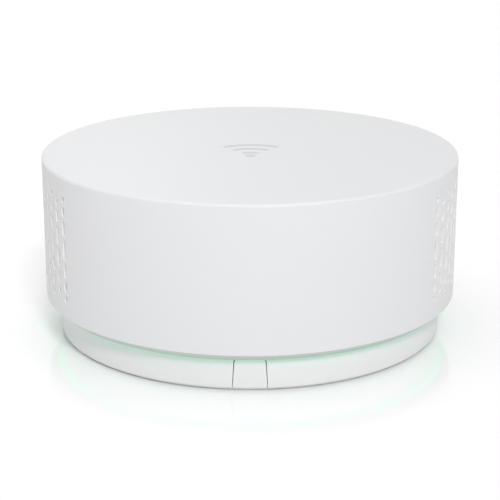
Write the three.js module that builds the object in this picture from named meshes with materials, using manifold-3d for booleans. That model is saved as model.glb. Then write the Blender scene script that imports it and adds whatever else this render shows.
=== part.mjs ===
// Mesh wifi node: a low round drum that twists off a shallow mounting base.
// Millimetres, +Z up. The origin is the middle of the footprint, on the surface the node stands on.
// The front, with the cable door, faces -Y. Angles named "turn" are degrees from the front, counted
// towards +X, so a turn of 90 is the right side and 180 the back.
import * as THREE from "three";
import { mergeGeometries, mergeVertices } from "three/addons/utils/BufferGeometryUtils.js";
import Module from "manifold-3d";

const wasm = await Module();
wasm.setup();

// ---------------------------------------------------------------- driving dimensions
const HOUSING_RADIUS = 60;
const OVERALL_HEIGHT = 52.5;
const UNDERSIDE = 10.4; // height of the drum's flat underside
const WALL = 2.2; // drum wall and top
const TOP_ROUND = 0.9; // edge rounding at the top of the drum
const LOW_ROUND = 1.3; // edge rounding at the bottom of the drum
const CLEARANCE = 0.3; // gap between pieces that touch
const CUT = 0.1; // how far a cutter or a joined piece runs past a face

const BASE_RADIUS = 55.8;
const BASE_WALL = 2;
const BASE_LIFT = 0.6; // the base stands this far off the surface, on its foot ring
const BASE_FLOOR_TOP = 3;
const BASE_TOP = UNDERSIDE - 0.4;
const BASE_HOLE_RADIUS = 20; // cable way through the base, from the wall behind it

const SHELL_INSIDE = HOUSING_RADIUS - WALL;
const COVER_RADIUS = 55.8;
const COVER_THICK = 2;
const COVER_TOP = UNDERSIDE + COVER_THICK;

const BOARD_RADIUS = 45.5;
const BOARD_THICK = 1.6;
const BOARD_LOW = 26;
const BOARD_TOP = BOARD_LOW + BOARD_THICK;
const SOLDER = 0.1; // what is soldered to the board stands this far off it

const SHELL_FACETS = 90; // one facet for each 4 degrees, so a vent slot lies in one facet
const RING_FACETS = 60;
const SMALL_FACETS = 12;

// ---------------------------------------------------------------- finishes
const FINISHES = {
  white_plastic: { color: 0xf1f3f4, roughness: 0.5, metalness: 0 },
  light_guide: { color: 0xe6fff0, roughness: 0.35, metalness: 0 },
  foot_rubber: { color: 0xb9bcbe, roughness: 0.85, metalness: 0 },
  inner_plastic: { color: 0x3a3d40, roughness: 0.6, metalness: 0 },
  board_green: { color: 0x14533a, roughness: 0.45, metalness: 0 },
  board_white: { color: 0xf4f4ee, roughness: 0.4, metalness: 0 },
  chip_black: { color: 0x1b1c1e, roughness: 0.55, metalness: 0 },
  tinned_steel: { color: 0xc9ccce, roughness: 0.3, metalness: 1 },
  aluminium: { color: 0xd4d6d8, roughness: 0.4, metalness: 1 },
  gold_contact: { color: 0xd9b04a, roughness: 0.3, metalness: 1 },
  screw_steel: { color: 0x8d9094, roughness: 0.35, metalness: 1 },
  coax_jacket: { color: 0x2a2b2d, roughness: 0.5, metalness: 0 },
  thermal_rubber: { color: 0x8fb4d8, roughness: 0.9, metalness: 0 },
  screen_mesh: { color: 0x9a9c9e, roughness: 0.9, metalness: 0 },
  label_film: { color: 0xe9ebec, roughness: 0.3, metalness: 0 },
  led_lens: { color: 0xf6f2c8, roughness: 0.2, metalness: 0 },
};

// ---------------------------------------------------------------- shape helpers
const radians = THREE.MathUtils.degToRad;
const radialAt = (turn) => new THREE.Vector3(Math.sin(radians(turn)), -Math.cos(radians(turn)), 0);
const tangentAt = (turn) => new THREE.Vector3(Math.cos(radians(turn)), Math.sin(radians(turn)), 0);
const placeAt = (turn, radius) => radialAt(turn).multiplyScalar(radius);

function solid(geometry) {
  const bare = geometry.clone();
  bare.deleteAttribute("normal");
  bare.deleteAttribute("uv");
  const merged = mergeVertices(bare, 1e-4);
  return new wasm.Manifold(
    new wasm.Mesh({
      numProp: 3,
      vertProperties: merged.attributes.position.array,
      triVerts: new Uint32Array(merged.index.array),
    }),
  );
}

function geometryOf(body) {
  const mesh = body.getMesh();
  const geometry = new THREE.BufferGeometry();
  geometry.setAttribute("position", new THREE.BufferAttribute(mesh.vertProperties, mesh.numProp));
  geometry.setIndex(new THREE.BufferAttribute(mesh.triVerts, 1));
  const flat = geometry.toNonIndexed();
  flat.computeVertexNormals();
  return flat;
}

const grown = (span, by) => [span[0] - by, span[1] + by];
const mirrored = (span, side) => span.map((x) => x * side).sort((a, b) => a - b);
const joined = (bodies) => bodies.reduce((whole, body) => whole.add(body));
const without = (body, cutters) => cutters.reduce((rest, cutter) => rest.subtract(cutter), body);

function boxShape(x, y, z) {
  const box = new THREE.BoxGeometry(x[1] - x[0], y[1] - y[0], z[1] - z[0]);
  return box.translate((x[0] + x[1]) / 2, (y[0] + y[1]) / 2, (z[0] + z[1]) / 2);
}

function roundBar(radius, z, at = new THREE.Vector3(), facets = SMALL_FACETS) {
  const bar = new THREE.CylinderGeometry(radius, radius, z[1] - z[0], facets);
  return bar.rotateX(Math.PI / 2).translate(at.x, at.y, (z[0] + z[1]) / 2);
}

// Turned about Z from a closed outline of [radius, height] corners. The outline runs anticlockwise.
function turned(outline, facets = RING_FACETS) {
  const onAxis = outline.some(([radius]) => radius === 0);
  const corners = onAxis ? outline : [...outline, outline[0]];
  const points = corners.map(([radius, height]) => new THREE.Vector2(radius, height));
  return new THREE.LatheGeometry(points, facets).rotateX(Math.PI / 2);
}

// A quarter round of a profile, from one angle to another, as [radius, height] corners.
function roundCorner(centre, radius, fromDegrees, toDegrees, steps) {
  return Array.from({ length: steps + 1 }, (_, i) => {
    const angle = radians(fromDegrees + ((toDegrees - fromDegrees) * i) / steps);
    return [centre[0] + radius * Math.cos(angle), centre[1] + radius * Math.sin(angle)];
  });
}

// A piece of a ring between two radii and two turns.
function ringPiece(radii, turns, z) {
  const [from, to] = turns.map((turn) => radians(turn - 90));
  const outline = new THREE.Shape();
  outline.absarc(0, 0, radii[1], from, to, false);
  outline.absarc(0, 0, radii[0], to, from, true);
  const curveSegments = Math.max(2, Math.round((turns[1] - turns[0]) / 4));
  const depth = z[1] - z[0];
  const piece = new THREE.ExtrudeGeometry(outline, { depth, bevelEnabled: false, curveSegments });
  return piece.translate(0, 0, z[0]);
}

// An outline in X and Z, extruded along Y.
function alongY(outline, y) {
  const depth = y[1] - y[0];
  const piece = new THREE.ExtrudeGeometry(outline, { depth, bevelEnabled: false, curveSegments: 3 });
  return piece.rotateX(Math.PI / 2).translate(0, y[1], 0);
}

function meshOf(name, geometry, finish) {
  const mesh = new THREE.Mesh(geometry, new THREE.MeshStandardMaterial(FINISHES[finish]));
  mesh.name = name;
  return mesh;
}

// ---------------------------------------------------------------- vent slots of the drum
const SLOT_WIDTH = 1.6;
const SLOT_GAP = 1.4;
const SLOT_MID_HEIGHT = 31.9;
const SLOT_FIRST_TURN = 58;
const SLOT_PITCH_TURN = 4;
const SLOT_COLUMNS = 17;
const TALL_COLUMN = [1.7, 2.7, 3.9, 5.4, 3.9, 2.7, 1.7]; // slot lengths, top to bottom
const SHORT_COLUMN = [1.7, 3.35, 5.05, 5.05, 3.35, 1.7];

function slotCutter(turn, height, length) {
  const depth = WALL + 2;
  const slot = new THREE.BoxGeometry(SLOT_WIDTH, length, depth);
  const place = new THREE.Matrix4().makeBasis(tangentAt(turn), new THREE.Vector3(0, 0, 1), radialAt(turn));
  place.setPosition(placeAt(turn, HOUSING_RADIUS - WALL / 2).setZ(height));
  return slot.applyMatrix4(place);
}

function ventCutters() {
  const cutters = [];
  for (let column = 0; column < SLOT_COLUMNS; column++) {
    const lengths = column % 2 === 0 ? TALL_COLUMN : SHORT_COLUMN;
    const total = lengths.reduce((sum, length) => sum + length + SLOT_GAP, -SLOT_GAP);
    let top = SLOT_MID_HEIGHT + total / 2;
    for (const length of lengths) {
      const turn = SLOT_FIRST_TURN + column * SLOT_PITCH_TURN;
      cutters.push(slotCutter(turn, top - length / 2, length));
      cutters.push(slotCutter(-turn, top - length / 2, length));
      top -= length + SLOT_GAP;
    }
  }
  return solid(mergeGeometries(cutters));
}

// ---------------------------------------------------------------- drum shell
const BOSS_TURNS = [42, 138, 222, 318]; // cover screws and the shell's screw bosses
const BOSS_CIRCLE = 49;
const BOSS_RADIUS = 2.8;
const BOSS_LOW = 14.3;
const BOSS_PILOT = 1.4;
const BOSS_PILOT_DEPTH = 10;

function topShell() {
  const top = OVERALL_HEIGHT;
  const inside = OVERALL_HEIGHT - WALL;
  const outline = [
    [0, inside],
    [SHELL_INSIDE, inside],
    [SHELL_INSIDE, UNDERSIDE],
    ...roundCorner([HOUSING_RADIUS - LOW_ROUND, UNDERSIDE + LOW_ROUND], LOW_ROUND, -90, 0, 2),
    ...roundCorner([HOUSING_RADIUS - TOP_ROUND, top - TOP_ROUND], TOP_ROUND, 0, 90, 2),
    [0, top],
  ];
  const bucket = turned(outline, SHELL_FACETS);
  const bosses = BOSS_TURNS.map((turn) =>
    solid(roundBar(BOSS_RADIUS, [BOSS_LOW, inside + CUT], placeAt(turn, BOSS_CIRCLE))),
  );
  const pilots = BOSS_TURNS.map((turn) =>
    solid(roundBar(BOSS_PILOT, [BOSS_LOW - CUT, BOSS_LOW + BOSS_PILOT_DEPTH], placeAt(turn, BOSS_CIRCLE), 8)),
  );
  const whole = joined([solid(bucket), ...bosses]);
  return geometryOf(without(whole, [...pilots, ventCutters()]));
}

// ---------------------------------------------------------------- light ring and its lamps
const LIGHT_RING_OUT = SHELL_INSIDE - CLEARANCE;
const LIGHT_RING_IN = COVER_RADIUS + CLEARANCE;
const LIGHT_FLANGE_IN = 53;
const LIGHT_FLANGE = [13, 14.2];
const LED_BOARD = { inner: 52.2, outer: 56.6, z: [15.6, 16.6] };
const LED_COUNT = 8;
const LED_CIRCLE = 55.2;
const LED_SIZE = [3.4, 1.6, 0.8];

function lightRing() {
  return turned([
    [LIGHT_RING_IN, UNDERSIDE],
    [LIGHT_RING_OUT, UNDERSIDE],
    [LIGHT_RING_OUT, LIGHT_FLANGE[1]],
    [LIGHT_FLANGE_IN, LIGHT_FLANGE[1]],
    [LIGHT_FLANGE_IN, LIGHT_FLANGE[0]],
    [LIGHT_RING_IN, LIGHT_FLANGE[0]],
  ]);
}

function ledBoard() {
  const { inner, outer, z } = LED_BOARD;
  return turned([
    [inner, z[0]],
    [outer, z[0]],
    [outer, z[1]],
    [inner, z[1]],
  ]);
}

function ledMeshes() {
  return Array.from({ length: LED_COUNT }, (_, i) => {
    const turn = (360 / LED_COUNT) * (i + 0.5);
    const led = meshOf("led_" + (i + 1), new THREE.BoxGeometry(...LED_SIZE), "led_lens");
    led.position.copy(placeAt(turn, LED_CIRCLE)).setZ(LED_BOARD.z[0] - CUT - LED_SIZE[2] / 2);
    led.rotation.z = radians(turn);
    return led;
  });
}

// The ribbon that joins the lamp board to the main board, at the back.
function ledRibbon() {
  const halfWidth = 3;
  const halfThick = 0.15;
  const strip = new THREE.Shape([
    new THREE.Vector2(-halfWidth, -halfThick),
    new THREE.Vector2(halfWidth, -halfThick),
    new THREE.Vector2(halfWidth, halfThick),
    new THREE.Vector2(-halfWidth, halfThick),
  ]);
  const route = new THREE.CubicBezierCurve3(
    new THREE.Vector3(0, 54.5, LED_BOARD.z[1] + 0.5),
    new THREE.Vector3(0, 46, LED_BOARD.z[1] + 0.5),
    new THREE.Vector3(0, 51, BOARD_LOW - 0.6),
    new THREE.Vector3(0, 41, BOARD_LOW - 0.6),
  );
  return new THREE.ExtrudeGeometry(strip, { steps: 10, extrudePath: route, bevelEnabled: false });
}

// ---------------------------------------------------------------- bottom cover
const RESET_AT = new THREE.Vector3(0, 16, 0);
const POCKET = { halfWidth: 17, y: [-42, -12], ceiling: 24.1, wall: 1.6 };
const LUG_TURNS = [60, 180, 300]; // the three twist-lock lugs
const LUG_HALF_TURN = 5;
const LUG_WEB = [46.6, 48.6];
const LUG_FOOT = { radii: [48.5, 53.2], z: [4.8, 6.6] };
const POST_CIRCLE = 40;
const POST_TURNS = [55, 110, 250, 305]; // posts that carry the main board
const POST_RADIUS = 3;
const RESET_HOLE_RADIUS = 1.8;
const LABEL = { x: [-15, 15], y: [-8, 12], z: [10.5, 10.65], recess: 0.4 };
const JACK = { x: [-14, 2], y: [-11.9, 9.1], z: [12.7, BOARD_LOW - SOLDER] };
const POWER = { x: [4.5, 13.5], y: [-11.9, 2.3], z: [15, BOARD_LOW - SOLDER] };


function bottomCover() {
  const { halfWidth, y, ceiling, wall } = POCKET;
  const plate = turned([
    [0, UNDERSIDE],
    [COVER_RADIUS - 0.3, UNDERSIDE],
    [COVER_RADIUS, UNDERSIDE + 0.3],
    [COVER_RADIUS, COVER_TOP],
    [0, COVER_TOP],
  ]);
  const outerX = [-halfWidth - wall, halfWidth + wall];
  const pocketBlock = boxShape(outerX, grown(y, wall), [COVER_TOP - CUT, ceiling + wall]);
  const posts = POST_TURNS.map((turn) =>
    roundBar(POST_RADIUS, [COVER_TOP - CUT, BOARD_LOW - CLEARANCE], placeAt(turn, POST_CIRCLE)),
  );
  const seats = BOSS_TURNS.map((turn) =>
    roundBar(BOSS_RADIUS + 1, [COVER_TOP - CUT, BOSS_LOW - CLEARANCE], placeAt(turn, BOSS_CIRCLE)),
  );
  const lugs = LUG_TURNS.flatMap((turn) => {
    const turns = [turn - LUG_HALF_TURN, turn + LUG_HALF_TURN];
    return [
      ringPiece(LUG_WEB, turns, [LUG_FOOT.z[0], UNDERSIDE + CUT]),
      ringPiece(LUG_FOOT.radii, turns, LUG_FOOT.z),
    ];
  });
  const pocketSpace = boxShape([-halfWidth, halfWidth], y, [UNDERSIDE - CUT, ceiling]);
  const rearWall = [y[1] - CUT, y[1] + wall + CUT];
  const jackWindow = boxShape(grown(JACK.x, CLEARANCE), rearWall, [COVER_TOP, ceiling + wall + CUT]);
  const powerWindow = boxShape(
    grown(POWER.x, CLEARANCE),
    rearWall,
    [POWER.z[0] - CLEARANCE, ceiling + wall + CUT],
  );
  const postPilots = POST_TURNS.map((turn) =>
    roundBar(1.4, [18, BOARD_LOW], placeAt(turn, POST_CIRCLE), 8),
  );
  const headSinks = BOSS_TURNS.map((turn) =>
    roundBar(2.8, [UNDERSIDE - CUT, COVER_TOP], placeAt(turn, BOSS_CIRCLE)),
  );
  const shankHoles = BOSS_TURNS.map((turn) =>
    roundBar(1.5, [UNDERSIDE, BOSS_LOW], placeAt(turn, BOSS_CIRCLE), 8),
  );
  const resetHole = roundBar(RESET_HOLE_RADIUS, [UNDERSIDE - CUT, COVER_TOP + CUT], RESET_AT);
  const labelRecess = boxShape(
    grown(LABEL.x, CLEARANCE),
    grown(LABEL.y, CLEARANCE),
    [UNDERSIDE - CUT, UNDERSIDE + LABEL.recess],
  );
  const whole = joined([plate, pocketBlock, ...posts, ...seats, ...lugs].map(solid));
  const cutters = [
    pocketSpace,
    jackWindow,
    powerWindow,
    ...postPilots,
    ...headSinks,
    ...shankHoles,
    resetHole,
    labelRecess,
  ];
  return geometryOf(without(whole, cutters.map(solid)));
}

// ---------------------------------------------------------------- mounting base and cable door
const FOOT_RING = { inner: 44, outer: 52, z: [0, 1.6] };
const TWIST_TURN = 15; // how far the drum turns from locked to free
const FLANGE_HALF_TURN = 8;
const FLANGE = { radii: [49, BASE_RADIUS - BASE_WALL + CUT], z: [7, 9] };
const STOP_GAP_TURN = 0.8;
const KEYHOLE = { x: 36, headRadius: 4, slotRadius: 2.2, slotLength: 7 };
const WALL_SCREW_AT = new THREE.Vector3(0, 36, 0);
const DOORWAY_TOP = BASE_TOP - 0.35;
const DOOR = { lowHalfWidth: 4.65, highHalfWidth: 4.1, round: 1.3, gap: 0.3, depth: 2.4 };
const DOOR_ARM = { x: [2.2, 3.2], y: [-54.4, -48.6], z: [3.4, 6.4] };
const DOOR_GUIDE = { x: [3.6, 4.6], y: [-53, -48.6], z: [BASE_FLOOR_TOP - CUT, 6] };

// The door's outline in X and Z, wider at its foot, with two rounded upper corners.
function doorOutline(extra) {
  const low = DOOR.lowHalfWidth + extra;
  const high = DOOR.highHalfWidth + extra;
  const top = DOORWAY_TOP - DOOR.gap + extra;
  const round = DOOR.round;
  const outline = new THREE.Shape();
  const foot = BASE_LIFT - (extra > 0 ? CUT : 0);
  outline.moveTo(-low, foot);
  outline.lineTo(low, foot);
  outline.lineTo(high, top - round);
  outline.quadraticCurveTo(high, top, high - round, top);
  outline.lineTo(round - high, top);
  outline.quadraticCurveTo(-high, top, -high, top - round);
  outline.closePath();
  return outline;
}

function mountBase() {
  const wallInside = BASE_RADIUS - BASE_WALL;
  const dish = turned([
    [BASE_HOLE_RADIUS, BASE_LIFT],
    ...roundCorner([BASE_RADIUS - 0.6, BASE_LIFT + 0.6], 0.6, -90, 0, 1),
    [BASE_RADIUS, BASE_TOP - 0.3],
    [BASE_RADIUS - 0.3, BASE_TOP],
    [wallInside, BASE_TOP],
    [wallInside, BASE_FLOOR_TOP],
    [BASE_HOLE_RADIUS, BASE_FLOOR_TOP],
  ]);
  const groove = turned([
    [FOOT_RING.inner - CLEARANCE, 0],
    [FOOT_RING.outer + CLEARANCE, 0],
    [FOOT_RING.outer + CLEARANCE, FOOT_RING.z[1] + CLEARANCE],
    [FOOT_RING.inner - CLEARANCE, FOOT_RING.z[1] + CLEARANCE],
  ]);
  const flanges = LUG_TURNS.map((turn) =>
    ringPiece(FLANGE.radii, [turn - FLANGE_HALF_TURN, turn + FLANGE_HALF_TURN], FLANGE.z),
  );
  const stopReach = LUG_HALF_TURN + STOP_GAP_TURN;
  const stopZ = [BASE_FLOOR_TOP - CUT, FLANGE.z[0] + CUT];
  const stops = LUG_TURNS.flatMap((turn) => [
    ringPiece(FLANGE.radii, [turn - FLANGE_HALF_TURN, turn - stopReach], stopZ),
    ringPiece(FLANGE.radii, [turn + TWIST_TURN + stopReach, turn + TWIST_TURN + stopReach + 2], stopZ),
  ]);
  const guides = [1, -1].map((side) =>
    boxShape(mirrored(DOOR_GUIDE.x, side), DOOR_GUIDE.y, DOOR_GUIDE.z),
  );
  const through = [BASE_LIFT - CUT, BASE_FLOOR_TOP + CUT];
  const keyholes = [KEYHOLE.x, -KEYHOLE.x].flatMap((x) => [
    roundBar(KEYHOLE.headRadius, through, new THREE.Vector3(x, 0, 0)),
    boxShape([x - KEYHOLE.slotRadius, x + KEYHOLE.slotRadius], [0, KEYHOLE.slotLength], through),
    roundBar(KEYHOLE.slotRadius, through, new THREE.Vector3(x, KEYHOLE.slotLength, 0)),
  ]);
  const wallScrewHole = roundBar(KEYHOLE.slotRadius, through, WALL_SCREW_AT);
  const doorway = alongY(doorOutline(DOOR.gap), [-BASE_RADIUS - 1, -BASE_RADIUS + DOOR.depth]);
  const whole = joined([dish, ...flanges, ...stops, ...guides].map(solid));
  return geometryOf(without(whole, [groove, ...keyholes, wallScrewHole, doorway].map(solid)));
}

function cableDoor() {
  const face = solid(alongY(doorOutline(0), [-BASE_RADIUS - 1, -BASE_RADIUS + 2 * DOOR.depth]));
  const band = turned([
    [BASE_RADIUS - BASE_WALL, 0],
    [BASE_RADIUS, 0],
    [BASE_RADIUS, UNDERSIDE],
    [BASE_RADIUS - BASE_WALL, UNDERSIDE],
  ]);
  const arms = [1, -1].map((side) =>
    solid(boxShape(mirrored(DOOR_ARM.x, side), DOOR_ARM.y, DOOR_ARM.z)),
  );
  return geometryOf(joined([face.intersect(solid(band)), ...arms]));
}

function footRing() {
  const { inner, outer, z } = FOOT_RING;
  const edge = 0.3;
  return turned([
    [inner + edge, z[0]],
    [outer - edge, z[0]],
    [outer, z[0] + edge],
    [outer, z[1]],
    [inner, z[1]],
    [inner, z[0] + edge],
  ]);
}

// ---------------------------------------------------------------- main board and what it carries
function mainBoard() {
  const holes = POST_TURNS.map((turn) =>
    solid(roundBar(1.5, [BOARD_LOW - CUT, BOARD_TOP + CUT], placeAt(turn, POST_CIRCLE), 8)),
  );
  const disc = solid(roundBar(BOARD_RADIUS, [BOARD_LOW, BOARD_TOP], undefined, 48));
  return geometryOf(without(disc, holes));
}

const JACK_MIDDLE = (JACK.x[0] + JACK.x[1]) / 2;
const SOCKET = { halfWidth: 5.95, z: [16.2, 23.8], depth: 13 };

function ethernetJack() {
  const front = JACK.y[0] - CUT;
  const back = JACK.y[0] + SOCKET.depth;
  const room = (halfWidth, z) =>
    solid(boxShape([JACK_MIDDLE - halfWidth, JACK_MIDDLE + halfWidth], [front, back], z));
  const latchSteps = [room(3.1, [14.9, SOCKET.z[0] + CUT]), room(1.7, [13.8, 15])];
  const body = solid(boxShape(JACK.x, JACK.y, JACK.z));
  return geometryOf(without(body, [room(SOCKET.halfWidth, SOCKET.z), ...latchSteps]));
}

// Eight spring wires on the block at the back of the socket.
function jackContacts() {
  const block = boxShape([JACK_MIDDLE - 5.4, JACK_MIDDLE + 5.4], [-0.7, 0.8], [19.6, 23.4]);
  const wires = Array.from({ length: 8 }, (_, i) => {
    const wire = new THREE.BoxGeometry(0.4, 6.6, 0.3);
    wire.rotateX(radians(-18));
    return wire.translate(JACK_MIDDLE + (i - 3.5) * 1.27, -3.6, 22.2);
  });
  return geometryOf(joined([block, ...wires].map(solid)));
}

const POWER_BORE = { x: (POWER.x[0] + POWER.x[1]) / 2, z: 20.2, radius: 3.15, end: -2.5 };

function barAlongY(radius, y, x, z, facets = SMALL_FACETS) {
  const bar = new THREE.CylinderGeometry(radius, radius, y[1] - y[0], facets);
  return bar.translate(x, (y[0] + y[1]) / 2, z);
}

function powerJack() {
  const body = solid(boxShape(POWER.x, POWER.y, POWER.z));
  const bore = barAlongY(
    POWER_BORE.radius,
    [POWER.y[0] - CUT, POWER_BORE.end],
    POWER_BORE.x,
    POWER_BORE.z,
    16,
  );
  return geometryOf(body.subtract(solid(bore)));
}

const powerPin = () => barAlongY(1, [-10.8, POWER_BORE.end - CLEARANCE], POWER_BORE.x, POWER_BORE.z, 8);

const SINK = { halfX: 28, halfY: 24, low: 31.2, plate: 2.4, top: 45.6, fins: 13, finThick: 1.2 };
const SINK_SCREWS = [new THREE.Vector3(24.5, 20, 0), new THREE.Vector3(-24.5, -20, 0)];

function heatSink() {
  const { halfX, halfY, low, plate, top, fins, finThick } = SINK;
  const base = boxShape([-halfX, halfX], [-halfY, halfY], [low, low + plate]);
  const pitch = (2 * halfX - finThick) / (fins - 1);
  const blades = Array.from({ length: fins }, (_, i) => {
    const left = -halfX + i * pitch;
    return boxShape([left, left + finThick], [-halfY, halfY], [low + plate - CUT, top]);
  });
  const screwRooms = SINK_SCREWS.flatMap((at) => [
    roundBar(3.4, [low + plate, top + CUT], at),
    roundBar(1.5, [low - CUT, low + plate + CUT], at, 8),
  ]);
  return geometryOf(without(joined([base, ...blades].map(solid)), screwRooms.map(solid)));
}

const SHIELD_HIGH = 2.8;

// A stamped can, open towards the board.
function shieldCan(x) {
  const z = [BOARD_TOP + SOLDER, BOARD_TOP + SHIELD_HIGH];
  const y = [-13, 13];
  const sheet = 0.3;
  const can = solid(boxShape(x, y, z));
  const room = boxShape(grown(x, -sheet), grown(y, -sheet), [z[0] - CUT, z[1] - sheet]);
  return geometryOf(can.subtract(solid(room)));
}

const SCREW = { headRadius: 2.4, headHigh: 1.5, shankRadius: 1.1, edge: 0.3 };
const COVER_SCREW_LONG = 7.5;
const BOARD_SCREW_LONG = 7;
const SINK_SCREW_LONG = 5.8;
const UNDER_HEAD = 0.1; // a screw's head stops this far off what it holds

function screw(shankLong) {
  const { headRadius, headHigh, shankRadius, edge } = SCREW;
  return turned(
    [
      [0, -shankLong],
      [shankRadius, -shankLong],
      [shankRadius, 0],
      [headRadius, 0],
      [headRadius, headHigh - edge],
      [headRadius - edge, headHigh],
      [0, headHigh],
    ],
    SMALL_FACETS,
  );
}

function chips() {
  const onTop = (high) => [BOARD_TOP + SOLDER, BOARD_TOP + SOLDER + high];
  const below = (high) => [BOARD_LOW - SOLDER - high, BOARD_LOW - SOLDER];
  const capacitor = (x, y) => roundBar(4, below(11), new THREE.Vector3(x, y, 0), 16);
  return [
    meshOf("processor_chip", boxShape([-9.5, 9.5], [-9.5, 9.5], onTop(1.6)), "chip_black"),
    meshOf("thermal_pad", boxShape([-9, 9], [-9, 9], [29.5, SINK.low - SOLDER]), "thermal_rubber"),
    meshOf("memory_chip_1", boxShape([-12.5, -3.5], [14, 27], onTop(1)), "chip_black"),
    meshOf("memory_chip_2", boxShape([3.5, 12.5], [14, 27], onTop(1)), "chip_black"),
    meshOf("flash_chip", boxShape([-4, 4], [-22, -16], onTop(0.9)), "chip_black"),
    meshOf("radio_shield_1", shieldCan([-33, -13]), "tinned_steel"),
    meshOf("radio_shield_2", shieldCan([13, 33]), "tinned_steel"),
    meshOf("ethernet_magnetics", boxShape([-22, -6], [12, 25], below(5.6)), "chip_black"),
    meshOf("power_transformer", boxShape([10, 23], [12, 24], below(9.8)), "chip_black"),
    meshOf("power_inductor", boxShape([-31, -21], [-10, 0], below(4.6)), "chip_black"),
    meshOf("bulk_capacitor_1", capacitor(26, 2), "aluminium"),
    meshOf("bulk_capacitor_2", capacitor(26, -8), "aluminium"),
  ];
}

// ---------------------------------------------------------------- antennas
const ANTENNA_TURNS = [25, 155, 205, 335];
const ANTENNA = { radius: 51, width: 22, thick: 0.8, z: [32.6, 46.4] };
const FRAME_RING = { inner: 30, outer: 54.5, z: [46.8, 48.4] };
const FRAME_LEG_TURNS = [90, 180, 270];
const FRAME_LEG_CIRCLE = 43;

function antennaFrame() {
  const { inner, outer, z } = FRAME_RING;
  const ring = turned([
    [inner, z[0]],
    [outer, z[0]],
    [outer, z[1]],
    [inner, z[1]],
  ]);
  const legs = FRAME_LEG_TURNS.map((turn) =>
    roundBar(2, [BOARD_TOP + 0.2, z[0] + CUT], placeAt(turn, FRAME_LEG_CIRCLE), 8),
  );
  const bossHoles = BOSS_TURNS.map((turn) =>
    roundBar(BOSS_RADIUS + 0.4, grown(z, CUT), placeAt(turn, BOSS_CIRCLE)),
  );
  return geometryOf(without(joined([ring, ...legs].map(solid)), bossHoles.map(solid)));
}

function antennaMeshes() {
  return ANTENNA_TURNS.map((turn, i) => {
    const { radius, width, thick, z } = ANTENNA;
    const plate = new THREE.BoxGeometry(width, thick, z[1] - z[0]);
    const antenna = meshOf("antenna_" + (i + 1), plate, "board_green");
    antenna.position.copy(placeAt(turn, radius)).setZ((z[0] + z[1]) / 2);
    antenna.rotation.z = radians(turn);
    return antenna;
  });
}

// A thin coaxial lead, from the foot of an antenna down to the main board.
function antennaLead(turn) {
  const radius = 0.55;
  const section = new THREE.Shape().absarc(0, 0, radius, 0, 2 * Math.PI);
  const at = (out, along, height) =>
    placeAt(turn, out).addScaledVector(tangentAt(turn), along).setZ(height);
  const route = new THREE.CatmullRomCurve3([
    at(49.7, 4, 38),
    at(49.5, 4, 34),
    at(47.5, 2, 30.5),
    at(43.5, 0, 29.6),
    at(40.5, 0, 28.3),
  ]);
  return new THREE.ExtrudeGeometry(section, {
    steps: 14,
    curveSegments: 4,
    extrudePath: route,
    bevelEnabled: false,
  });
}

const DUST_SCREEN = { radii: [57, 57.5], turns: [54, 126], z: [14.6, 49.8] };

const dustScreen = (side) => {
  const { radii, turns, z } = DUST_SCREEN;
  return ringPiece(radii, mirrored(turns, side), z);
};

// ---------------------------------------------------------------- reset button
function resetPlunger() {
  return turned(
    [
      [0, 10.9],
      [1.4, 10.9],
      [1.4, COVER_TOP + CLEARANCE],
      [2.6, COVER_TOP + CLEARANCE],
      [2.6, COVER_TOP + 1.3],
      [1.1, COVER_TOP + 1.3],
      [1.1, 20.9],
      [0, 20.9],
    ],
    SMALL_FACETS,
  );
}

function resetSwitchBody() {
  const z = [22.4, BOARD_LOW - SOLDER];
  const body = boxShape([RESET_AT.x - 3, RESET_AT.x + 3], [RESET_AT.y - 3, RESET_AT.y + 3], z);
  return geometryOf(solid(body).subtract(solid(roundBar(2, [z[0] - CUT, 24.7], RESET_AT))));
}

// ---------------------------------------------------------------- the assembly
function fastenerMeshes() {
  const coverScrews = BOSS_TURNS.map((turn, i) => {
    const mesh = meshOf("cover_screw_" + (i + 1), screw(COVER_SCREW_LONG), "screw_steel");
    mesh.rotation.x = Math.PI; // driven from below
    mesh.position.copy(placeAt(turn, BOSS_CIRCLE)).setZ(COVER_TOP - UNDER_HEAD);
    return mesh;
  });
  const boardScrews = POST_TURNS.map((turn, i) => {
    const mesh = meshOf("board_screw_" + (i + 1), screw(BOARD_SCREW_LONG), "screw_steel");
    mesh.position.copy(placeAt(turn, POST_CIRCLE)).setZ(BOARD_TOP + UNDER_HEAD);
    return mesh;
  });
  const sinkScrews = SINK_SCREWS.map((at, i) => {
    const mesh = meshOf("heat_sink_screw_" + (i + 1), screw(SINK_SCREW_LONG), "screw_steel");
    mesh.position.copy(at).setZ(SINK.low + SINK.plate + UNDER_HEAD);
    return mesh;
  });
  return [...coverScrews, ...boardScrews, ...sinkScrews];
}

function mountGroup() {
  const mount = new THREE.Group();
  mount.add(meshOf("mount_base", mountBase(), "white_plastic"));
  mount.add(meshOf("foot_ring", footRing(), "foot_rubber"));
  mount.add(meshOf("cable_door", cableDoor(), "white_plastic"));
  return mount;
}

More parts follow.
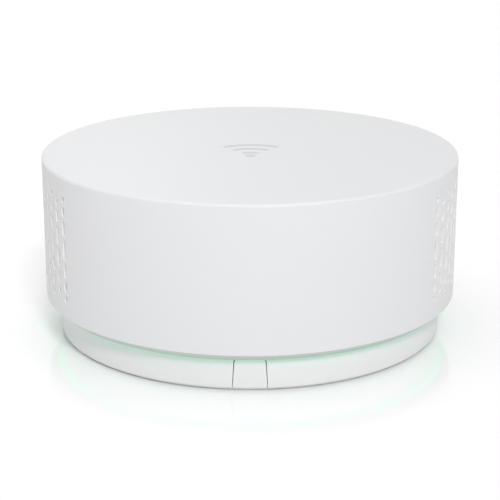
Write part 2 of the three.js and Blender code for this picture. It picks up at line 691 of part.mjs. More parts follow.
function housingGroup() {
  const housing = new THREE.Group();
  housing.add(meshOf("top_shell", topShell(), "white_plastic"));
  housing.add(meshOf("light_ring", lightRing(), "light_guide"));
  housing.add(meshOf("bottom_cover", bottomCover(), "white_plastic"));
  housing.add(meshOf("rating_label", boxShape(LABEL.x, LABEL.y, LABEL.z), "label_film"));
  housing.add(meshOf("dust_screen_left", dustScreen(-1), "screen_mesh"));
  housing.add(meshOf("dust_screen_right", dustScreen(1), "screen_mesh"));
  housing.add(meshOf("led_board", ledBoard(), "board_white"), ...ledMeshes());
  housing.add(meshOf("led_ribbon", ledRibbon(), "coax_jacket"));
  housing.add(meshOf("main_board", mainBoard(), "board_green"), ...chips());
  housing.add(meshOf("heat_sink", heatSink(), "aluminium"));
  housing.add(meshOf("ethernet_jack", ethernetJack(), "inner_plastic"));
  housing.add(meshOf("ethernet_contacts", jackContacts(), "gold_contact"));
  housing.add(meshOf("power_jack", powerJack(), "inner_plastic"));
  housing.add(meshOf("power_jack_pin", powerPin(), "tinned_steel"));
  housing.add(meshOf("antenna_frame", antennaFrame(), "inner_plastic"), ...antennaMeshes());
  ANTENNA_TURNS.forEach((turn, i) => {
    housing.add(meshOf("antenna_lead_" + (i + 1), antennaLead(turn), "coax_jacket"));
  });
  housing.add(meshOf("reset_switch", resetSwitchBody(), "chip_black"));
  housing.add(...fastenerMeshes());
  return housing;
}

function resetGroup() {
  const reset = new THREE.Group();
  const cap = roundBar(1.6, [21.1, 23.6]);
  reset.add(meshOf("reset_plunger", resetPlunger(), "inner_plastic"));
  reset.add(meshOf("reset_switch_cap", cap, "white_plastic"));
  reset.position.copy(RESET_AT);
  return reset;
}

const node = new THREE.Group();
node.add(mountGroup(), housingGroup(), resetGroup());
export default node;
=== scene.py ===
import math

import bmesh
import bpy
from mathutils import Matrix, Vector


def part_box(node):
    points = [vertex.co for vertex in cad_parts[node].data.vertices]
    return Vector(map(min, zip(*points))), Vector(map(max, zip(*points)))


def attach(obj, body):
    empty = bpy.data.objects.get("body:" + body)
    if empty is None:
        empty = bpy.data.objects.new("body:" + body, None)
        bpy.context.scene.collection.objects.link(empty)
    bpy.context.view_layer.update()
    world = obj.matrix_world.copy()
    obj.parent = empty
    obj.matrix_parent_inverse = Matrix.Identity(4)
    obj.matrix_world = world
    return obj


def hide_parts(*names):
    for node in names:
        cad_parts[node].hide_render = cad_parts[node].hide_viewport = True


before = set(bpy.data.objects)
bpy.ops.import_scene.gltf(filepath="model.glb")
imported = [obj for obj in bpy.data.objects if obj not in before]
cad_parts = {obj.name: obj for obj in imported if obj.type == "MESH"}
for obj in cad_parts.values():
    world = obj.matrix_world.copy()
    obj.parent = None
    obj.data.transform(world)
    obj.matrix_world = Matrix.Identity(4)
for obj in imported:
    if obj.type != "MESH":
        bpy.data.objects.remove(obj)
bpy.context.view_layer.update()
scene = bpy.context.scene
scene.view_settings.view_transform = "Standard"
MM = 0.001

# ---------------------------------------------------------------- camera
# A long lens looks down on the node from in front, with the cable door facing it. It stands far
# enough away that the drum's sides stay nearly upright.
CAMERA_DISTANCE = 420 * MM
CAMERA_HEIGHT = 153.4 * MM
CAMERA_PITCH = math.radians(17.4)
CAMERA_LENS = 107.1

camera = bpy.data.objects.new("camera", bpy.data.cameras.new("camera"))
camera.data.lens = CAMERA_LENS
camera.data.sensor_width = 36
camera.location = (0, -CAMERA_DISTANCE, CAMERA_HEIGHT)
camera.rotation_euler = (math.pi / 2 - CAMERA_PITCH, 0, 0)
scene.collection.objects.link(camera)
scene.camera = camera


# ---------------------------------------------------------------- floor and light
# A white sweep with a slight gloss, so the base and its green ring show faintly in it. The light
# is a pale room, brighter towards its horizon, under a wide soft ceiling. A soft box stands high
# in front, and a strip hangs over the left of the drum.
class Wire:
    """A shader socket. Arithmetic on it adds Math nodes."""

    def __init__(self, nodes, socket):
        self.nodes, self.socket = nodes, socket

    def maths(self, operation, first, second):
        return self.nodes.node("ShaderNodeMath", {"operation": operation}, {0: first, 1: second})

    def __add__(self, other):
        return self.maths("ADD", self, other)

    def __rsub__(self, other):
        return self.maths("SUBTRACT", other, self)

    def __mul__(self, other):
        return self.maths("MULTIPLY", self, other)

    def __gt__(self, other):
        return self.maths("GREATER_THAN", self, other)

    def __lt__(self, other):
        return self.maths("LESS_THAN", self, other)

    __radd__ = __add__


class Nodes:
    """A node tree, and the one way that nodes are added to it."""

    def __init__(self, tree):
        self.tree = tree
        self.tree.nodes.clear()

    def node(self, kind, settings, inputs, output=0):
        """Adds a node. A Wire is linked to its input, and anything else is set on it."""
        made = self.tree.nodes.new(kind)
        for name, value in settings.items():
            setattr(made, name, value)
        for name, value in inputs.items():
            if isinstance(value, Wire):
                self.tree.links.new(value.socket, made.inputs[name])
            else:
                made.inputs[name].default_value = value
        return Wire(self, made.outputs[output])

    def end(self, kind, shader):
        """Adds the tree's output node."""
        self.tree.links.new(shader.socket, self.tree.nodes.new(kind).inputs["Surface"])


class Finish(Nodes):
    """A procedural material on a piece's own coordinates."""

    def __init__(self, name):
        self.material = bpy.data.materials.new(name)
        self.material.use_nodes = True
        super().__init__(self.material.node_tree)
        self.place = self.node("ShaderNodeTexCoord", {}, {}, "Object")

    def noise(self, scale, detail=2.0):
        inputs = {"Vector": self.place, "Scale": scale, "Detail": detail}
        return self.node("ShaderNodeTexNoise", {}, inputs, "Fac")

    def blend(self, share, first, second):
        inputs = {0: share, 6: first, 7: second}
        return self.node("ShaderNodeMix", {"data_type": "RGBA"}, inputs, 2)

    def relief(self, height, depth):
        inputs = {"Height": height, "Distance": depth, "Strength": 1.0}
        return self.node("ShaderNodeBump", {}, inputs)

    def surface(self, inputs):
        self.end("ShaderNodeOutputMaterial", self.node("ShaderNodeBsdfPrincipled", {}, inputs))
        return self.material


def linear(red, green, blue):
    """A screen colour, 0 to 255, as the linear colour that a shader takes."""
    parts = [c / 255 for c in (red, green, blue)]
    return (*[p / 12.92 if p <= 0.04045 else ((p + 0.055) / 1.055) ** 2.4 for p in parts], 1)


def shade(colour, factor):
    return (*[min(1, c * factor) for c in colour[:3]], 1)


FLOOR_SIZE = 30
FLOOR_COLOUR = linear(248, 246.5, 247.5)
FLOOR_ROUGHNESS = 0.015

floor_finish = Finish("studio_floor")
floor_tone = floor_finish.blend(
    floor_finish.noise(3.0), shade(FLOOR_COLOUR, 0.995), FLOOR_COLOUR
)
floor_finish.surface({"Base Color": floor_tone, "Roughness": FLOOR_ROUGHNESS, "IOR": 1.6})

bm = bmesh.new()
bmesh.ops.create_grid(bm, x_segments=1, y_segments=1, size=FLOOR_SIZE)
floor_mesh = bpy.data.meshes.new("floor")
bm.to_mesh(floor_mesh)
bm.free()
floor_mesh.materials.append(floor_finish.material)
floor = bpy.data.objects.new("floor", floor_mesh)
scene.collection.objects.link(floor)

HORIZON_STRENGTH = 1.15  # the room's glow up to LOW_RISE above the horizon
OVERHEAD_STRENGTH = 0.3  # and from HIGH_RISE upwards
LOW_RISE = 0.2  # these two are sines of the height above the horizon
HIGH_RISE = 0.64
CEILING_STRENGTH = 1.18
CEILING_SPREAD = math.radians(70)

scene.world = bpy.data.worlds.new("studio")
scene.world.use_nodes = True
room = Nodes(scene.world.node_tree)
aim = room.node("ShaderNodeTexCoord", {}, {}, "Generated")
rise = room.node("ShaderNodeSeparateXYZ", {}, {"Vector": aim}, "Z")
glow_strength = room.node("ShaderNodeMapRange", {"interpolation_type": "SMOOTHSTEP"}, {
    "Value": rise,
    "From Min": LOW_RISE,
    "From Max": HIGH_RISE,
    "To Min": HORIZON_STRENGTH,
    "To Max": OVERHEAD_STRENGTH,
})
room.end("ShaderNodeOutputWorld", room.node(
    "ShaderNodeBackground", {}, {"Color": (1, 1, 1, 1), "Strength": glow_strength}
))


def soft_box(name, place, aim, width, height, radiance):
    """A rectangular light that faces its aim and glows evenly all over."""
    light = bpy.data.objects.new(name, bpy.data.lights.new(name, "AREA"))
    light.data.shape = "RECTANGLE"
    light.data.size = width
    light.data.size_y = height
    light.data.energy = radiance * width * height * math.pi
    light.visible_camera = False
    light.location = place
    light.rotation_euler = (Vector(aim) - Vector(place)).to_track_quat("-Z", "Y").to_euler()
    scene.collection.objects.link(light)


soft_box(
    "front_box", place=(0.36, -1.6, 1.38), aim=(0, 0, 0.03), width=0.4, height=0.4, radiance=34
)
soft_box(
    "top_strip",
    place=(-0.065, 0.06, 0.16), aim=(-0.065, 0.0601, 0), width=0.06, height=0.5, radiance=0.52,
)
ceiling = bpy.data.objects.new("ceiling", bpy.data.lights.new("ceiling", "SUN"))
ceiling.data.energy = CEILING_STRENGTH
ceiling.data.angle = CEILING_SPREAD
scene.collection.objects.link(ceiling)

# ---------------------------------------------------------------- drum shell
# One moulding in white plastic with a very fine spark texture: an upturned tub, with a small round
# along its top and a chamfer along its foot, darkened with painted shade. Upright slots in columns
# pierce both sides, their walls brightened with painted light. Four bosses hang inside it, for the
# screws that hold the bottom cover.
shell_low, shell_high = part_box("top_shell")
PRINT_THICK = 0.03 * MM  # room left for the printed mark on the drum's top
BOX_MARGIN = 0.01 * MM
DRUM_RADIUS = shell_high.x - BOX_MARGIN
DRUM_TOP = shell_high.z - PRINT_THICK
UNDERSIDE = shell_low.z
SHELL_WALL = 2.2 * MM
TOP_ROUND = 0.9 * MM
CHAMFER_IN = 1.5 * MM
CHAMFER_UP = 1.25 * MM
CHAMFER_TURN = -50  # its slope faces 50 degrees below level
CHAMFER_ROUND = 0.3 * MM  # the rounds at its two corners
CHAMFER_LOW_REACH = 0.11 * MM  # from each corner to where its round starts
CHAMFER_HIGH_REACH = 0.14 * MM
INSIDE_TOP = DRUM_TOP - SHELL_WALL
LATHE_STEPS = 360
SHARP_TURN = math.radians(32)  # a turn of more than this between faces stays a sharp edge
OVERLAP = 0.1 * MM  # how far a joined solid reaches into its neighbour

SLOT_WIDTH = 1.5 * MM
SLOT_GAP = 1.35 * MM
SLOT_BREAK = 0.14 * MM  # the broken edge at a slot's mouth
SLOT_CLEAR = 0.8 * MM  # how far a slot's punch starts outside the wall
MARGIN = 0.05 * MM  # past an edge, where a finish changes
PAINTED_LIGHT_INSET = 0.1 * MM  # the painted light on the slot walls starts this far inside a slot's mouth
SLOT_SIDES = 20  # in the two round ends together
SLOT_MIDDLE = 31.7 * MM
SLOT_COLUMN_TURNS = range(58, 123, 4)
TALL_COLUMN = [1.6, 2.75, 3.95, 5.4, 3.95, 2.75, 1.6]  # slot lengths in millimetres, from the top
SHORT_COLUMN = [1.6, 3.4, 5.1, 5.1, 3.4, 1.6]

BOSS_TURNS = (42, 138, 222, 318)
BOSS_CIRCLE = 49 * MM
BOSS_RADIUS = 2.8 * MM
BOSS_LOW = 14.3 * MM
BOSS_PILOT = 1.4 * MM
BOSS_PILOT_DEPTH = 10 * MM

WHITE = linear(216.5, 217.5, 218.5)
CHAMFER_PAINTED_SHADE = linear(196, 197, 195)  # painted shade: a darker grey on the chamfer and the rim under it
SLOT_PAINTED_LIGHT = linear(246, 246, 246)  # painted light: a brighter white on the slot walls and inside the shell


def piece(name, bm, material=None):
    """Makes an object of a bmesh, with smooth faces and its sharp edges kept."""
    mesh = bpy.data.meshes.new(name)
    bm.to_mesh(mesh)
    bm.free()
    mesh.shade_smooth()
    mesh.set_sharp_from_angle(angle=SHARP_TURN)
    if material:
        mesh.materials.append(material)
    made = bpy.data.objects.new(name, mesh)
    scene.collection.objects.link(made)
    return made


def arc(centre, radius, start, end, steps=5):
    """A round of a profile, as points (out, up), between two turns in degrees."""
    turns = [math.radians(start + (end - start) * i / steps) for i in range(steps + 1)]
    return [(centre[0] + radius * math.cos(t), centre[1] + radius * math.sin(t)) for t in turns]


def turned(profile, steps=LATHE_STEPS):
    """A solid of revolution about Z, from its outline in (out, up)."""
    bm = bmesh.new()
    corners = [bm.verts.new((out, 0, up)) for out, up in profile]
    ends = list(zip(corners, corners[1:]))
    if profile[0][0] > 0:
        ends.append((corners[-1], corners[0]))
    edges = [bm.edges.new(pair) for pair in ends]
    bmesh.ops.spin(
        bm,
        geom=corners + edges,
        cent=(0, 0, 0),
        axis=(0, 0, 1),
        angle=2 * math.pi,
        steps=steps,
        use_merge=True,
    )
    bmesh.ops.remove_doubles(bm, verts=bm.verts, dist=1e-7)
    bmesh.ops.recalc_face_normals(bm, faces=bm.faces)
    return bm


def at_turn(turn, out, up=0.0):
    """The place on a circle, at a turn in degrees from the front, counted towards +X."""
    angle = math.radians(turn)
    return Vector((out * math.sin(angle), -out * math.cos(angle), up))


def facing_out(turn, out, up):
    """Takes local X, Y and Z to along the rim, up, and outwards."""
    axes = Matrix.Rotation(math.radians(turn), 4, "Z") @ Matrix.Rotation(math.pi / 2, 4, "X")
    return Matrix.Translation(at_turn(turn, out, up)) @ axes


def boolean(body, tool_bm, operation):
    """Joins a tool to a piece, cuts it out, or keeps what they share. The tool is then removed."""
    tool = piece(body.name + "_tool", tool_bm)
    change = body.modifiers.new("change", "BOOLEAN")
    change.operation = operation
    change.solver = "MANIFOLD"
    change.object = tool
    bpy.context.view_layer.update()
    evaluated = body.evaluated_get(bpy.context.evaluated_depsgraph_get())
    changed = bpy.data.meshes.new_from_object(evaluated)
    body.modifiers.clear()
    body.data = changed
    bpy.data.objects.remove(tool)
    changed.shade_smooth()
    changed.set_sharp_from_angle(angle=SHARP_TURN)


def slot_tool(bm, turn, middle, length):
    """A stadium-shaped punch with a flared mouth, put across the wall at its turn."""
    straight = SHELL_WALL + MM - SLOT_BREAK
    radius = SLOT_WIDTH / 2
    verts = bmesh.ops.create_cone(
        bm, segments=SLOT_SIDES, radius1=radius, radius2=radius, depth=straight, cap_ends=True
    )["verts"]
    half_side = Matrix.Rotation(math.pi / SLOT_SIDES, 3, "Z")
    bmesh.ops.rotate(bm, verts=verts, matrix=half_side)
    mouth = max({f for v in verts for f in v.link_faces}, key=lambda f: f.calc_center_median().z)
    for flare in (SLOT_BREAK, SLOT_CLEAR):
        mouth = bmesh.ops.extrude_discrete_faces(bm, faces=[mouth])["faces"][0]
        factor = 1 + flare / mouth.verts[0].co.xy.length
        bmesh.ops.scale(bm, verts=mouth.verts, vec=(factor, factor, 1))
        bmesh.ops.translate(bm, verts=mouth.verts, vec=(0, 0, flare))
        verts += mouth.verts
    reach = (length - SLOT_WIDTH) / 2
    for vert in verts:
        vert.co.y += math.copysign(reach, vert.co.y)
    place = facing_out(turn, DRUM_RADIUS - SLOT_BREAK - straight / 2, middle)
    bmesh.ops.transform(bm, matrix=place, verts=verts)


def upright_bar(bm, radius, low, high, place, segments=32):
    """A round bar that stands between two heights."""
    matrix = Matrix.Translation((place[0], place[1], (low + high) / 2))
    bmesh.ops.create_cone(
        bm, segments=segments, radius1=radius, radius2=radius,
        depth=high - low, cap_ends=True, matrix=matrix,
    )


def out_and_up(finish):
    """A place's distance from the Z axis, and its height."""
    flat = finish.node(
        "ShaderNodeVectorMath", {"operation": "MULTIPLY"}, {0: finish.place, 1: (1, 1, 0)}
    )
    out = finish.node("ShaderNodeVectorMath", {"operation": "LENGTH"}, {0: flat}, "Value")
    return out, finish.node("ShaderNodeSeparateXYZ", {}, {"Vector": finish.place}, "Z")


def painted_light_inside(finish):
    """1 where painted light brightens the shell, on the walls of the slots and inside it, and 0 on
    the shell's outside.
    """
    out, up = out_and_up(finish)
    return (out < DRUM_RADIUS - PAINTED_LIGHT_INSET) * (up > UNDERSIDE + CHAMFER_UP) * (up < INSIDE_TOP + MM)


def painted_shade_mask(finish):
    """1 where painted shade darkens the shell, on its lower chamfer and below it, and 0 above."""
    return out_and_up(finish)[1] < UNDERSIDE + CHAMFER_UP + MARGIN


def moulded(name, colour, roughness, grain=3800, depth=0.006 * MM, mottle=0.985, bare=None):
    """Moulded plastic: a fine spark texture, with faint unevenness in tone and gloss."""
    finish = Finish(name)
    cloud = finish.noise(40, 3)
    tone = finish.blend(cloud, shade(colour, mottle), colour)
    # bare carries a painted light colour for the slot walls; with it the lower chamfer also gets
    # painted shade
    if bare:
        tone = finish.blend(painted_light_inside(finish), tone, bare)
        tone = finish.blend(painted_shade_mask(finish), tone, CHAMFER_PAINTED_SHADE)
    gloss = roughness - 0.04 + cloud * 0.08
    spark = finish.relief(finish.noise(grain, 3), depth)
    return finish.surface({"Base Color": tone, "Roughness": gloss, "Normal": spark, "IOR": 1.46})


white_plastic = moulded("white_plastic", WHITE, 0.46)
shell_plastic = moulded("shell_plastic", WHITE, 0.46, bare=SLOT_PAINTED_LIGHT)

chamfer_low = (DRUM_RADIUS - CHAMFER_IN - CHAMFER_LOW_REACH, UNDERSIDE + CHAMFER_ROUND)
chamfer_high = (DRUM_RADIUS - CHAMFER_ROUND, UNDERSIDE + CHAMFER_UP + CHAMFER_HIGH_REACH)
shell_bm = turned([
    (0, INSIDE_TOP),
    (DRUM_RADIUS - SHELL_WALL, INSIDE_TOP),
    (DRUM_RADIUS - SHELL_WALL, UNDERSIDE),
    *arc(chamfer_low, CHAMFER_ROUND, -90, CHAMFER_TURN, 3),
    *arc(chamfer_high, CHAMFER_ROUND, CHAMFER_TURN, 0, 3),
    *arc((DRUM_RADIUS - TOP_ROUND, DRUM_TOP - TOP_ROUND), TOP_ROUND, 0, 90),
    (0, DRUM_TOP),
])
drum_shell = piece("drum_shell", shell_bm, shell_plastic)

bosses = bmesh.new()
pilots = bmesh.new()
for turn in BOSS_TURNS:
    boss_place = at_turn(turn, BOSS_CIRCLE)
    upright_bar(bosses, BOSS_RADIUS, BOSS_LOW, INSIDE_TOP + 2 * OVERLAP, boss_place)
    upright_bar(pilots, BOSS_PILOT, BOSS_LOW - MM, BOSS_LOW + BOSS_PILOT_DEPTH, boss_place)
boolean(drum_shell, bosses, "UNION")
boolean(drum_shell, pilots, "DIFFERENCE")

slots = bmesh.new()
for column, column_turn in enumerate(SLOT_COLUMN_TURNS):
    lengths = SHORT_COLUMN if column % 2 else TALL_COLUMN
    column_height = sum(lengths) * MM + SLOT_GAP * (len(lengths) - 1)
    slot_top = SLOT_MIDDLE + column_height / 2
    for length in lengths:
        for side in (1, -1):
            slot_tool(slots, side * column_turn, slot_top - length * MM / 2, length * MM)
        slot_top -= length * MM + SLOT_GAP
boolean(drum_shell, slots, "DIFFERENCE")

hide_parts("top_shell")
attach(drum_shell, "drum")

# ---------------------------------------------------------------- light ring
# A frosted light guide, one clear moulding lit green. It is clamped by its flange between the
# shell and the bottom cover. Only its lip shows, just under the drum, and the lip's lower face
# shines down the base.
ring_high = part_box("light_ring")[1]
RING_IN = 56.1 * MM
RING_FLANGE_IN = 53 * MM
RING_FLANGE_LOW = 13 * MM
RING_LIP = 0.85 * MM
RING_GLOW = (0.06, 1.0, 0.45, 1)
RING_DIMMING = 0.75
RING_SIDE_GLOW = (0.04, 0.17, 0.1, 1)

glow = Finish("light_guide")
patches = glow.noise(30, 2)
ring_side = out_and_up(glow)[0] > ring_high.y - MARGIN
frosted = glow.blend(patches, linear(171, 178, 173), linear(177, 183, 179))
light_guide = glow.surface({
    "Base Color": glow.blend(ring_side, linear(56, 132, 96), frosted),
    "Roughness": 0.3 + patches * 0.15,
    "Normal": glow.relief(glow.noise(2500, 2), 0.01 * MM),
    "Emission Color": glow.blend(ring_side, shade(RING_GLOW, RING_DIMMING), RING_SIDE_GLOW),
    "Emission Strength": 1.0,
    "IOR": 1.49,
})
ring_bm = turned([
    (RING_IN, UNDERSIDE - RING_LIP),
    (ring_high.y, UNDERSIDE - RING_LIP),
    (ring_high.y, ring_high.z),
    (RING_FLANGE_IN, ring_high.z),
    (RING_FLANGE_IN, RING_FLANGE_LOW),
    (RING_IN, RING_FLANGE_LOW),
])
lit_ring = piece("lit_ring", ring_bm, light_guide)
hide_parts("light_ring")
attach(lit_ring, "drum")

# ---------------------------------------------------------------- mounting base
# A shallow dish in the same plastic, painted lighter than the drum's white as painted light against
# the drum's shade. Inside it are three hooks with end stops that lock the drum on, and two guide
# posts for the cable door. Wall screws hold it by two keyholes and a third hole, and a wide hole
# lets cables in from the wall.
base_low, base_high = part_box("mount_base")
foot_low, foot_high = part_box("foot_ring")
BASE_RADIUS = base_high.y
BASE_WALL = 2 * MM
BASE_FLOOR = 3 * MM
BASE_HOLE = 20 * MM
BASE_ROUND = 0.8 * MM
BASE_RIM_BREAK = 0.3 * MM
FOOT_INNER = 44 * MM
FOOT_OUTER = BASE_RADIUS - 1.15 * MM
FOOT_GAP = 0.25 * MM  # the foot ring's groove is this much larger than the ring
LOCK_TURNS = (60, 180, 300)
HOOK_HALF_TURN = 8  # this and the next three are in degrees
STOP_REACH = 5.8
STOP_WIDTH_TURN = 2
UNLOCK_TURN = 15
HOOK_RADII = (49 * MM, BASE_RADIUS - BASE_WALL + OVERLAP)
HOOK_HEIGHTS = (7 * MM, 9 * MM)
GUIDE_IN = 3.6 * MM
GUIDE_THICK = 1 * MM
GUIDE_FRONT = -53 * MM
GUIDE_BACK = -48.6 * MM
GUIDE_TOP = 6 * MM
# painted light: a lighter white than the drum's, so that the base and door don't read as shaded
# under the drum
BASE_PAINTED_LIGHT_WHITE = linear(225, 225, 226)
KEYHOLE_OUT = 36 * MM
KEYHOLE_HEAD = 4 * MM
KEYHOLE_SLOT = 2.2 * MM
KEYHOLE_RUN = 7 * MM
HOLE_TOP = BASE_FLOOR + MM  # where the tools that cut the holes end


def sector(bm, radii, turns, heights):
    """A stretch of a ring between two radii, two turns and two heights."""
    corners = [
        bm.verts.new(at_turn(turns[0], out, up))
        for out, up in zip((radii[0], radii[1], radii[1], radii[0]), sorted(heights * 2))
    ]
    end = bm.faces.new(corners)
    bmesh.ops.spin(
        bm,
        geom=[*corners, *end.edges, end],
        cent=(0, 0, 0),
        axis=(0, 0, 1),
        angle=math.radians(turns[1] - turns[0]),
        steps=max(2, round(turns[1] - turns[0])),
    )


def block(bm, low, high):
    """A rectangular block between two corners."""
    low, high = Vector(low), Vector(high)
    size = Matrix.Diagonal((*(high - low), 1))
    bmesh.ops.create_cube(bm, size=1, matrix=Matrix.Translation((low + high) / 2) @ size)


def mirrored_blocks(low, high):
    """Two blocks alike, one on each side of the middle."""
    bm = bmesh.new()
    block(bm, low, high)
    block(bm, (-high[0], low[1], low[2]), (-low[0], high[1], high[2]))
    return bm


base_profile = [
    (BASE_HOLE, base_low.z),
    (FOOT_INNER - FOOT_GAP, base_low.z),
    (FOOT_INNER - FOOT_GAP, foot_high.z + FOOT_GAP),
    (FOOT_OUTER + FOOT_GAP, foot_high.z + FOOT_GAP),
    (FOOT_OUTER + FOOT_GAP, base_low.z),
    *arc((BASE_RADIUS - BASE_ROUND, base_low.z + BASE_ROUND), BASE_ROUND, -90, 0),
    *arc((BASE_RADIUS - BASE_RIM_BREAK, base_high.z - BASE_RIM_BREAK), BASE_RIM_BREAK, 0, 90, 3),
    (BASE_RADIUS - BASE_WALL, base_high.z),
    (BASE_RADIUS - BASE_WALL, BASE_FLOOR),
    (BASE_HOLE, BASE_FLOOR),
]
base_plastic = moulded("base_plastic", BASE_PAINTED_LIGHT_WHITE, 0.46)
wall_base = piece("wall_base", turned(base_profile), base_plastic)

hooks = bmesh.new()
for turn in LOCK_TURNS:
    sector(hooks, HOOK_RADII, (turn - HOOK_HALF_TURN, turn + HOOK_HALF_TURN), HOOK_HEIGHTS)
bmesh.ops.recalc_face_normals(hooks, faces=hooks.faces)
boolean(wall_base, hooks, "UNION")

stops = bmesh.new()
stop_heights = (BASE_FLOOR - OVERLAP, HOOK_HEIGHTS[0] + OVERLAP)
for turn in LOCK_TURNS:
    far_stop = turn + UNLOCK_TURN + STOP_REACH
    sector(stops, HOOK_RADII, (turn - HOOK_HALF_TURN, turn - STOP_REACH), stop_heights)
    sector(stops, HOOK_RADII, (far_stop, far_stop + STOP_WIDTH_TURN), stop_heights)
bmesh.ops.recalc_face_normals(stops, faces=stops.faces)
boolean(wall_base, stops, "UNION")

guides = mirrored_blocks(
    (GUIDE_IN, GUIDE_FRONT, BASE_FLOOR - OVERLAP),
    (GUIDE_IN + GUIDE_THICK, GUIDE_BACK, GUIDE_TOP),
)
boolean(wall_base, guides, "UNION")

for x in (KEYHOLE_OUT, -KEYHOLE_OUT):
    for radius, y in ((KEYHOLE_HEAD, 0), (KEYHOLE_SLOT, KEYHOLE_RUN)):
        hole = bmesh.new()
        upright_bar(hole, radius, 0, HOLE_TOP, (x, y))
        boolean(wall_base, hole, "DIFFERENCE")
    run = bmesh.new()
    block(run, (x - KEYHOLE_SLOT, 0, 0), (x + KEYHOLE_SLOT, KEYHOLE_RUN, HOLE_TOP))
    boolean(wall_base, run, "DIFFERENCE")
screw_hole = bmesh.new()
upright_bar(screw_hole, KEYHOLE_SLOT, 0, HOLE_TOP, (0, KEYHOLE_OUT))
boolean(wall_base, screw_hole, "DIFFERENCE")

# ---------------------------------------------------------------- cable door
# A small tapered door, moulded in the base's plastic to the base's own curve. Its two arms slide
# between the guide posts and hold it, and it pulls straight out to let the cables through.
door_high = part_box("cable_door")[1]
DOOR_LOW_HALF = 4.65 * MM
DOOR_HIGH_HALF = 4.1 * MM
DOOR_ROUND = 1.3 * MM
DOOR_GAP = 0.2 * MM
DOOR_DEPTH = 3 * MM
DOOR_EDGE_BREAK = 0.08 * MM
ARM_IN = 2.2 * MM
ARM_THICK = 1 * MM
ARM_FRONT = -54.4 * MM
ARM_LOW = 3.4 * MM
ARM_HIGH = 6.4 * MM


def door_prism(extra):
    """The door's outline, grown by a gap, drawn out through the base's wall."""
    bm = bmesh.new()
    front, back = -BASE_RADIUS - MM, -BASE_RADIUS + DOOR_DEPTH
    foot = base_low.z - (MM if extra else 0)
    low, high, top = DOOR_LOW_HALF + extra, DOOR_HIGH_HALF + extra, door_high.z + extra
    outline = ((-low, foot), (low, foot), (high, top), (-high, top))
    face = bm.faces.new([bm.verts.new((x, front, z)) for x, z in outline])
    upper = [v for v in face.verts if v.co.z > base_low.z + MM]
    bmesh.ops.bevel(
        bm, geom=upper, offset=DOOR_ROUND, affect="VERTICES", segments=6, profile=0.5, material=-1
    )
    grown = bmesh.ops.extrude_face_region(bm, geom=bm.faces[:])["geom"]
    ends = [v for v in grown if isinstance(v, bmesh.types.BMVert)]
    bmesh.ops.translate(bm, verts=ends, vec=(0, back - front, 0))
    bmesh.ops.recalc_face_normals(bm, faces=bm.faces)
    return bm


boolean(wall_base, door_prism(DOOR_GAP), "DIFFERENCE")
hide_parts("mount_base")
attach(wall_base, "mount")

door_profile = [
    (BASE_RADIUS - BASE_WALL, base_low.z),
    *arc((BASE_RADIUS - BASE_ROUND, base_low.z + BASE_ROUND), BASE_ROUND, -90, 0),
    (BASE_RADIUS, base_high.z),
    (BASE_RADIUS - BASE_WALL, base_high.z),
]
small_door = piece("small_door", turned(door_profile), base_plastic)
boolean(small_door, door_prism(0), "INTERSECT")
arms = mirrored_blocks(
    (ARM_IN, ARM_FRONT, ARM_LOW), (ARM_IN + ARM_THICK, door_high.y, ARM_HIGH)
)
boolean(small_door, arms, "UNION")
edge_break = small_door.modifiers.new("edge_break", "BEVEL")
edge_break.width = DOOR_EDGE_BREAK
edge_break.segments = 2
edge_break.limit_method = "ANGLE"
edge_break.angle_limit = math.radians(50)
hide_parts("cable_door")
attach(small_door, "door")

# ---------------------------------------------------------------- foot ring
# A pale grey rubber ring glued into a groove under the base. It stands a little below the base,
# so a thin shadow runs all round at the table.
FOOT_ROUND = 0.35 * MM
rubber = moulded(
    "foot_rubber", linear(226, 227, 228), 0.8, grain=1500, depth=0.02 * MM, mottle=0.93
)
foot_profile = [
    *arc((FOOT_INNER + FOOT_ROUND, foot_low.z + FOOT_ROUND), FOOT_ROUND, 180, 270, 4),
    *arc((FOOT_OUTER - FOOT_ROUND, foot_low.z + FOOT_ROUND), FOOT_ROUND, 270, 360, 4),
    (FOOT_OUTER, foot_high.z + FOOT_GAP),
    (FOOT_INNER, foot_high.z + FOOT_GAP),
]
rubber_foot = piece("rubber_foot", turned(foot_profile), rubber)
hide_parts("foot_ring")
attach(rubber_foot, "mount")


# ---------------------------------------------------------------- cover, screens and label
# The bottom cover is moulded in the same white plastic and holds the port pocket. A woven dust
# screen is welded behind each field of vents, and a blank film label lies in a recess below.
def dress(material, *names):
    for name in names:
        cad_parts[name].material_slots[0].material = material


dress(white_plastic, "bottom_cover", "reset_switch_cap")

WEAVE_PITCH = 0.7 * MM
WAVE_SCALE = 6.2832 / 20 / WEAVE_PITCH  # the wave texture makes 20 radians of a wave in each unit
weave = Finish("screen_mesh")
bands = []
for direction in ("Z", "DIAGONAL"):
    inputs = {"Vector": weave.place, "Scale": WAVE_SCALE}
    settings = {"bands_direction": direction, "wave_type": "BANDS"}
    bands.append(weave.node("ShaderNodeTexWave", settings, inputs, "Fac"))
threads = bands[0].maths("MAXIMUM", *bands)
screen_mesh = weave.surface({
    "Base Color": weave.blend(threads, linear(120, 122, 124), linear(205, 207, 208)),
    "Roughness": 0.9 - threads * 0.2,
    "Normal": weave.relief(threads, 0.08 * MM),
})
dress(screen_mesh, "dust_screen_left", "dust_screen_right")
film = moulded("label_film", linear(226, 228, 230), 0.32, grain=900, depth=0.004 * MM)
dress(film, "rating_label")


# ---------------------------------------------------------------- boards
# Glass-epoxy laminate under solder mask: green on the main board and the antenna plates, white on
# the ring-shaped lamp board, which is joined to the main board by a thin black ribbon.
TRACK_SCALE = 260
TRACK_GAP = 0.09


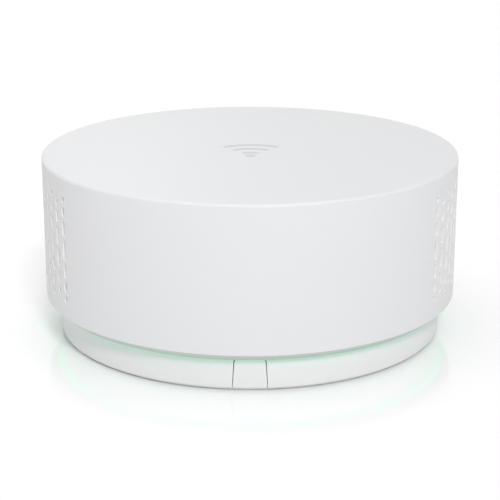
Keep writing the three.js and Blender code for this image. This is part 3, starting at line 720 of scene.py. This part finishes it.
def laminate(name, mask, track):
    """Solder mask with the raised outline of copper tracks under it."""
    finish = Finish(name)
    cells = finish.node(
        "ShaderNodeTexVoronoi",
        {"feature": "DISTANCE_TO_EDGE"},
        {"Vector": finish.place, "Scale": TRACK_SCALE},
        "Distance",
    )
    tracks = cells > TRACK_GAP
    tone = finish.blend(tracks, track, mask)
    return finish.surface({
        "Base Color": tone,
        "Roughness": 0.3 + finish.noise(300) * 0.15,
        "Normal": finish.relief(tracks, 0.03 * MM),
        "IOR": 1.5,
    })


green_mask = laminate("board_green", linear(24, 92, 62), linear(44, 122, 82))
dress(green_mask, "main_board", "antenna_1", "antenna_2", "antenna_3", "antenna_4")
dress(laminate("board_white", linear(238, 238, 232), linear(222, 222, 214)), "led_board")
lens = moulded("led_lens", linear(244, 240, 190), 0.22, grain=1200, depth=0.002 * MM)
dress(lens, *[f"led_{i}" for i in range(1, 9)])

# ---------------------------------------------------------------- parts on the boards
# Black moulded packages, dark plastic sockets with gold spring wires, tinned shield cans, a finned
# aluminium heat sink on a soft thermal pad, bare aluminium capacitor cans and plated screws.
package = moulded(
    "chip_black", linear(30, 31, 33), 0.55, grain=2600, depth=0.01 * MM, mottle=0.9
)
dress(
    package, "processor_chip", "memory_chip_1", "memory_chip_2", "flash_chip",
    "ethernet_magnetics", "power_transformer", "power_inductor", "reset_switch",
)
dark_plastic = moulded(
    "inner_plastic", linear(52, 54, 57), 0.58, grain=2200, depth=0.012 * MM, mottle=0.92
)
dress(dark_plastic, "ethernet_jack", "power_jack", "antenna_frame", "reset_plunger")
jacket = moulded(
    "coax_jacket", linear(40, 41, 43), 0.45, grain=1800, depth=0.006 * MM, mottle=0.93
)
dress(jacket, "led_ribbon", *[f"antenna_lead_{i}" for i in range(1, 5)])
pad_rubber = moulded(
    "thermal_rubber", linear(140, 178, 212), 0.85, grain=1400, depth=0.02 * MM, mottle=0.94
)
dress(pad_rubber, "thermal_pad")


def plated(name, colour, roughness, streak):
    """Metal with fine streaks from rolling or turning."""
    finish = Finish(name)
    inputs = {"Vector": finish.place, "Scale": (streak, streak * 12, streak)}
    stretched = finish.node("ShaderNodeMapping", {}, inputs)
    inputs = {"Vector": stretched, "Scale": 1.0, "Detail": 3.0}
    lines = finish.node("ShaderNodeTexNoise", {}, inputs, "Fac")
    return finish.surface({
        "Base Color": finish.blend(lines, shade(colour, 0.86), colour),
        "Metallic": 1.0,
        "Roughness": roughness + lines * 0.16,
        "Normal": finish.relief(lines, 0.006 * MM),
    })


tin = plated("tinned_steel", linear(202, 205, 207), 0.24, 400)
dress(tin, "radio_shield_1", "radio_shield_2", "power_jack_pin")
aluminium = plated("bare_aluminium", linear(214, 216, 218), 0.34, 300)
dress(aluminium, "heat_sink", "bulk_capacitor_1", "bulk_capacitor_2")
dress(plated("gold_contact", linear(222, 184, 92), 0.22, 700), "ethernet_contacts")
screws = [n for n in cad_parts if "_screw_" in n]
dress(plated("screw_steel", linear(150, 153, 157), 0.3, 800), *screws)

# ---------------------------------------------------------------- printed mark
# A small pale grey pad print in the middle of the drum's top: a plain wireless sign of a dot, which
# lies nearest the front, and three arcs behind it.
MARK_REACH = 14.2 * MM  # from the dot's middle to the outer arc
MARK_STROKE = 1.9 * MM
MARK_MIDDLE = Vector((0.2 * MM, -8.4 * MM, 0))
MARK_TURNS = (180 - 36, 180 + 36)
MARK_ARCS = 3
MARK_HEIGHTS = (DRUM_TOP - PRINT_THICK, DRUM_TOP + PRINT_THICK * 0.9)

ink = moulded("mark_ink", linear(190, 196, 199), 0.4, grain=3000, depth=0.003 * MM)
mark_bm = bmesh.new()
upright_bar(mark_bm, MARK_STROKE * 0.75, *MARK_HEIGHTS, (0, 0), 40)
for arc_number in range(MARK_ARCS):
    outer = MARK_REACH * (arc_number + 1) / MARK_ARCS
    sector(mark_bm, (outer - MARK_STROKE, outer), MARK_TURNS, MARK_HEIGHTS)
bmesh.ops.recalc_face_normals(mark_bm, faces=mark_bm.faces)
bmesh.ops.translate(mark_bm, verts=mark_bm.verts, vec=MARK_MIDDLE)
top_mark = piece("top_mark", mark_bm, ink)
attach(top_mark, "drum")
